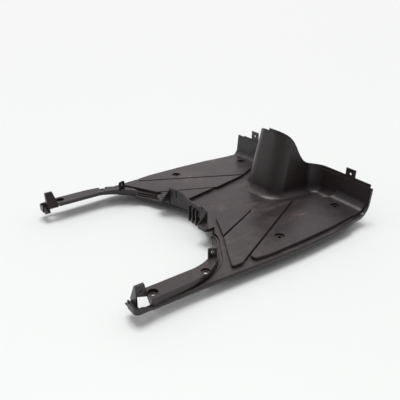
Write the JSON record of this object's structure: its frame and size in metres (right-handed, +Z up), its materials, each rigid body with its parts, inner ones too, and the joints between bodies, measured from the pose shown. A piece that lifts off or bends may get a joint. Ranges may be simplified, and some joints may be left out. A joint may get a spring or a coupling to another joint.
{
  "type": "scooter footboard",
  "caption": "Moulded plastic footboard of a scooter, with raised tread pads, a centre tunnel, a front wall and two rear arms with catches.",
  "frame": {"origin": "middle of the footprint, at the level of the ends of the four screw posts", "axes": "+Z up, +Y forward towards the tunnel and front wall, +X to the rider's right"},
  "size_m": [0.4172, 0.5108, 0.1545],
  "materials": {
    "moulding": "satin grain, scuffed and dusty"
  },
  "bodies": {
    "root": {"footboard": "moulding"}
  },
  "joints": []
}
